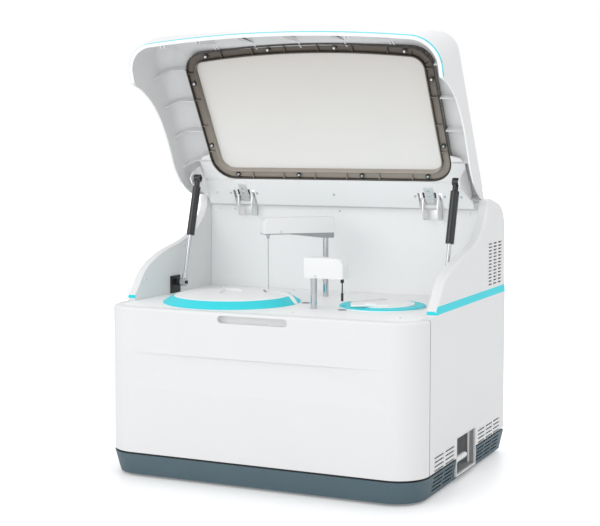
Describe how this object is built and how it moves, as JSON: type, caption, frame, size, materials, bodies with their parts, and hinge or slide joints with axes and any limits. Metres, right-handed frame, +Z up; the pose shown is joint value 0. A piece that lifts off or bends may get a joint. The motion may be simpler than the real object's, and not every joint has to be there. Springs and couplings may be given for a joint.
{
  "type": "benchtop chemistry analyzer",
  "caption": "Benchtop laboratory analyzer with an open hinged window lid on gas struts, a sample disk, a reaction disk, a sampling arm and a mixing arm over a flat deck.",
  "frame": {"origin": "centre of the footprint on the surface that the feet stand on", "axes": "+Z up, -Y towards the front that the user faces, +X to the user's right"},
  "size_m": [0.69, 0.55, 0.9107],
  "materials": {
    "white_housing": "satin moulded",
    "blue_grey_base": "fine textured",
    "cyan_trim": "glossy",
    "dark_rubber": "matt",
    "dark_plastic": "matt",
    "grey_plastic": "satin",
    "clear_cell": "clear",
    "smoked_plastic": "smoked, glossy",
    "window": "clear, thermoformed",
    "steel": "brushed",
    "bright_steel": "polished",
    "black_cylinder": "satin black",
    "chassis_metal": "milled"
  },
  "bodies": {
    "housing": {"back_wall": "white_housing", "base_tray": "blue_grey_base", "bay_frame": "white_housing", "bay_recess": "dark_plastic", "chassis_frame": "chassis_metal", "chassis_plate": "chassis_metal", "deck_cover": "white_housing", "disk_motors": "chassis_metal", "fan_frame": "dark_plastic", "front_cover": "white_housing", "hinge_brackets": "steel", "hinge_pins": "bright_steel", "hose_fitting": "grey_plastic", "left_side_panel": "white_housing", "left_stripe": "cyan_trim", "left_strut_foot": "dark_plastic", "left_wall_cover": "white_housing", "lift_towers": "chassis_metal", "power_inlet": "dark_plastic", "power_supply": "chassis_metal", "reaction_cover_handle": "white_housing", "reaction_cover_ring": "cyan_trim", "reaction_disk_cover": "white_housing", "reaction_well": "chassis_metal", "rear_hood": "white_housing", "rear_panel": "white_housing", "right_side_panel": "white_housing", "right_stripe": "cyan_trim", "right_strut_foot": "dark_plastic", "right_wall_cover": "white_housing", "rubber_feet": "dark_rubber", "sample_cover_rim": "cyan_trim", "sample_disk_cover": "white_housing", "sample_well": "chassis_metal", "wash_pots": "grey_plastic"},
    "lid": {"lid_shell": "white_housing", "lid_stripe": "cyan_trim", "window_ring": "smoked_plastic", "window_pane": "window", "window_screws": "steel", "lid_flange": "white_housing", "lid_hinge_leaves": "steel"},
    "left_rod": {"left_strut_rod": "bright_steel"},
    "left_tube": {"left_strut_tube": "black_cylinder"},
    "right_rod": {"right_strut_rod": "bright_steel"},
    "right_tube": {"right_strut_tube": "black_cylinder"},
    "sample_disk": {"sample_disk": "grey_plastic"},
    "reaction_disk": {"reaction_disk": "grey_plastic", "cuvettes": "clear_cell"},
    "sample_lift": {"sample_lift_carriage": "chassis_metal"},
    "sample_arm": {"sample_arm_shaft": "bright_steel", "sample_arm_base": "white_housing", "sample_arm_cover": "white_housing", "sample_probe": "bright_steel"},
    "mixer_lift": {"mixer_lift_carriage": "chassis_metal"},
    "mixer_arm": {"mixer_arm_shaft": "bright_steel", "mixer_arm_cover": "white_housing"},
    "mixer_paddle": {"mixer_paddle": "dark_plastic"},
    "fan_rotor": {"fan_rotor": "dark_plastic"},
    "power_rocker": {"power_rocker": "dark_plastic"}
  },
  "joints": [
    {"name": "lid_hinge", "type": "hinge", "parent": "housing", "child": "lid", "pos_m": [0, 0.142, 0.563], "axis": [1, 0, 0], "range_deg": [0, 71], "stiffness_Nm_per_rad": 2, "springref_deg": -171.89},
    {"name": "sample_disk_turn", "type": "hinge", "parent": "housing", "child": "sample_disk", "pos_m": [-0.135, -0.1, 0.3], "axis": [0, 0, 1], "continuous": true},
    {"name": "reaction_disk_turn", "type": "hinge", "parent": "housing", "child": "reaction_disk", "pos_m": [0.186, -0.053, 0.3], "axis": [0, 0, 1], "continuous": true},
    {"name": "sample_lift_slide", "type": "slide", "parent": "housing", "child": "sample_lift", "axis": [0, 0, 1], "range_m": [-0.042, 0]},
    {"name": "sample_arm_turn", "type": "hinge", "parent": "sample_lift", "child": "sample_arm", "pos_m": [0.0092, 0.0601, 0.4], "axis": [0, 0, 1], "range_deg": [0, 107]},
    {"name": "mixer_lift_slide", "type": "slide", "parent": "housing", "child": "mixer_lift", "axis": [0, 0, 1], "range_m": [-0.042, 0]},
    {"name": "mixer_arm_turn", "type": "hinge", "parent": "mixer_lift", "child": "mixer_arm", "pos_m": [0.0722, -0.1407, 0.4], "axis": [0, 0, 1], "range_deg": [0, 35.5]},
    {"name": "mixer_paddle_turn", "type": "hinge", "parent": "mixer_arm", "child": "mixer_paddle", "pos_m": [0.1342, -0.1407, 0.4], "axis": [0, 0, 1], "continuous": true},
    {"name": "fan_turn", "type": "hinge", "parent": "housing", "child": "fan_rotor", "pos_m": [0.19, 0.26, 0.21], "axis": [0, 1, 0], "continuous": true},
    {"name": "power_rocker_tilt", "type": "hinge", "parent": "housing", "child": "power_rocker", "pos_m": [-0.23, 0.267, 0.129], "axis": [1, 0, 0], "range_deg": [-8, 8]},
    {"name": "left_strut_pivot", "type": "hinge", "parent": "housing", "child": "left_rod", "pos_m": [-0.3026, -0.0096, 0.375], "axis": [1, 0, 0], "range_deg": [-19.5, 0]},
    {"name": "left_strut_slide", "type": "slide", "parent": "left_rod", "child": "left_tube", "axis": [0, 0.2842, 0.9588], "range_m": [-0.0873, 0]},
    {"name": "right_strut_pivot", "type": "hinge", "parent": "housing", "child": "right_rod", "pos_m": [0.3026, -0.0096, 0.375], "axis": [1, 0, 0], "range_deg": [-19.5, 0]},
    {"name": "right_strut_slide", "type": "slide", "parent": "right_rod", "child": "right_tube", "axis": [0, 0.2842, 0.9588], "range_m": [-0.0873, 0]}
  ],
  "couplings": [
    {"joint": "left_strut_pivot", "follows": "lid_hinge", "ratio": -0.2738},
    {"joint": "left_strut_slide", "follows": "lid_hinge", "m_per_rad": -0.07037},
    {"joint": "right_strut_pivot", "follows": "lid_hinge", "ratio": -0.2738},
    {"joint": "right_strut_slide", "follows": "lid_hinge", "m_per_rad": -0.07037}
  ]
}
